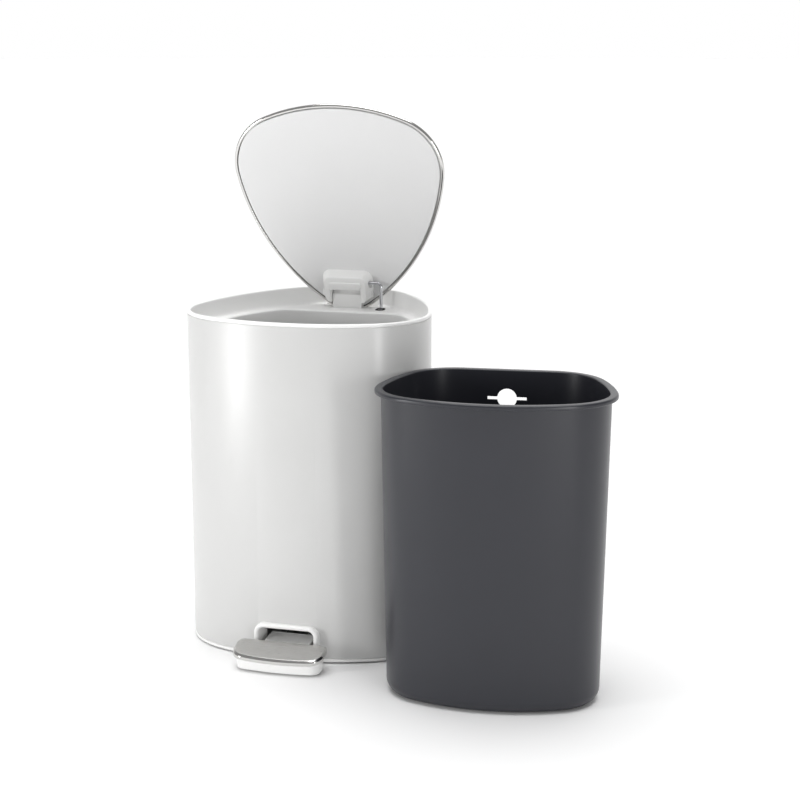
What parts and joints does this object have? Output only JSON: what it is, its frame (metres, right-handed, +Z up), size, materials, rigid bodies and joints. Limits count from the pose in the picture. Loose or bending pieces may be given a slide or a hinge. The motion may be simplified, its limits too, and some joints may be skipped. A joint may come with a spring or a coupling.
{
  "type": "pedal trash can",
  "caption": "Pedal trash can with rounded triangular plan, an inset lid hinged at its narrow back, a foot pedal, push rod and soft-close damper, and a lift-out inner bucket beside it.",
  "frame": {"origin": "centre of the can's base, on the floor", "axes": "+Z up, +X to the right, -Y out of the front where the pedal is, +Y towards the lid hinge"},
  "size_m": [0.517, 0.3986, 0.6226],
  "materials": {
    "painted_steel": "satin white powder coat",
    "white_plastic": "moulded, satin",
    "grey_plastic": "moulded, matte",
    "dark_plastic": "moulded, matte",
    "black_rubber": "moulded",
    "stainless_steel": "brushed, polished rolled edge",
    "zinc_steel": "zinc plated",
    "chrome_wire": "bright chrome plate",
    "bucket_plastic": "moulded, satin dark grey"
  },
  "bodies": {
    "can": {"outer_shell": "painted_steel", "top_collar": "white_plastic", "base_pan": "grey_plastic", "floor_plate": "grey_plastic", "foot_ring": "black_rubber", "pedal_frame": "white_plastic", "bearing_caps": "dark_plastic", "bearing_screws": "zinc_steel", "pedal_axle": "zinc_steel", "axle_clips": "zinc_steel", "stop_pads": "black_rubber", "hinge_post": "white_plastic", "hinge_pin": "zinc_steel", "post_screws": "zinc_steel", "rod_grommet": "black_rubber", "damper_cylinder": "dark_plastic", "damper_bracket": "dark_plastic"},
    "lid": {"lid_cover": "stainless_steel", "lid_panel": "white_plastic", "lid_bracket": "white_plastic", "bracket_screws": "zinc_steel", "bracket_cap": "white_plastic"},
    "pedal": {"pedal_arm": "zinc_steel", "pedal_cap": "stainless_steel", "pedal_pad": "white_plastic", "pedal_screws": "zinc_steel"},
    "rod": {"push_rod": "chrome_wire", "rod_clip": "zinc_steel"},
    "damper": {"damper_rod": "zinc_steel"},
    "bucket": {"inner_bucket": "bucket_plastic"}
  },
  "joints": [
    {"name": "lid_hinge", "type": "hinge", "parent": "can", "child": "lid", "pos_m": [0, 0.107, 0.389], "axis": [-1, 0, 0], "range_deg": [-74, 0]},
    {"name": "pedal_hinge", "type": "hinge", "parent": "can", "child": "pedal", "pos_m": [0, -0.05, 0.02], "axis": [1, 0, 0], "range_deg": [-7.35, 0]},
    {"name": "rod_hinge", "type": "hinge", "parent": "pedal", "child": "rod", "pos_m": [0.044, 0.09655, 0.03998], "axis": [1, 0, 0], "range_deg": [0, 8.63]},
    {"name": "damper_slide", "type": "slide", "parent": "can", "child": "damper", "axis": [0, 0, 1], "range_m": [-0.01885, 0]},
    {"name": "bucket_lift", "type": "slide", "parent": "can", "child": "bucket", "axis": [0, 0, 1], "range_m": [0, 0.354]}
  ],
  "couplings": [
    {"joint": "pedal_hinge", "follows": "lid_hinge", "ratio": 0.099324},
    {"joint": "rod_hinge", "follows": "lid_hinge", "ratio": -0.11668},
    {"joint": "damper_slide", "follows": "lid_hinge", "m_per_rad": 0.014592}
  ]
}
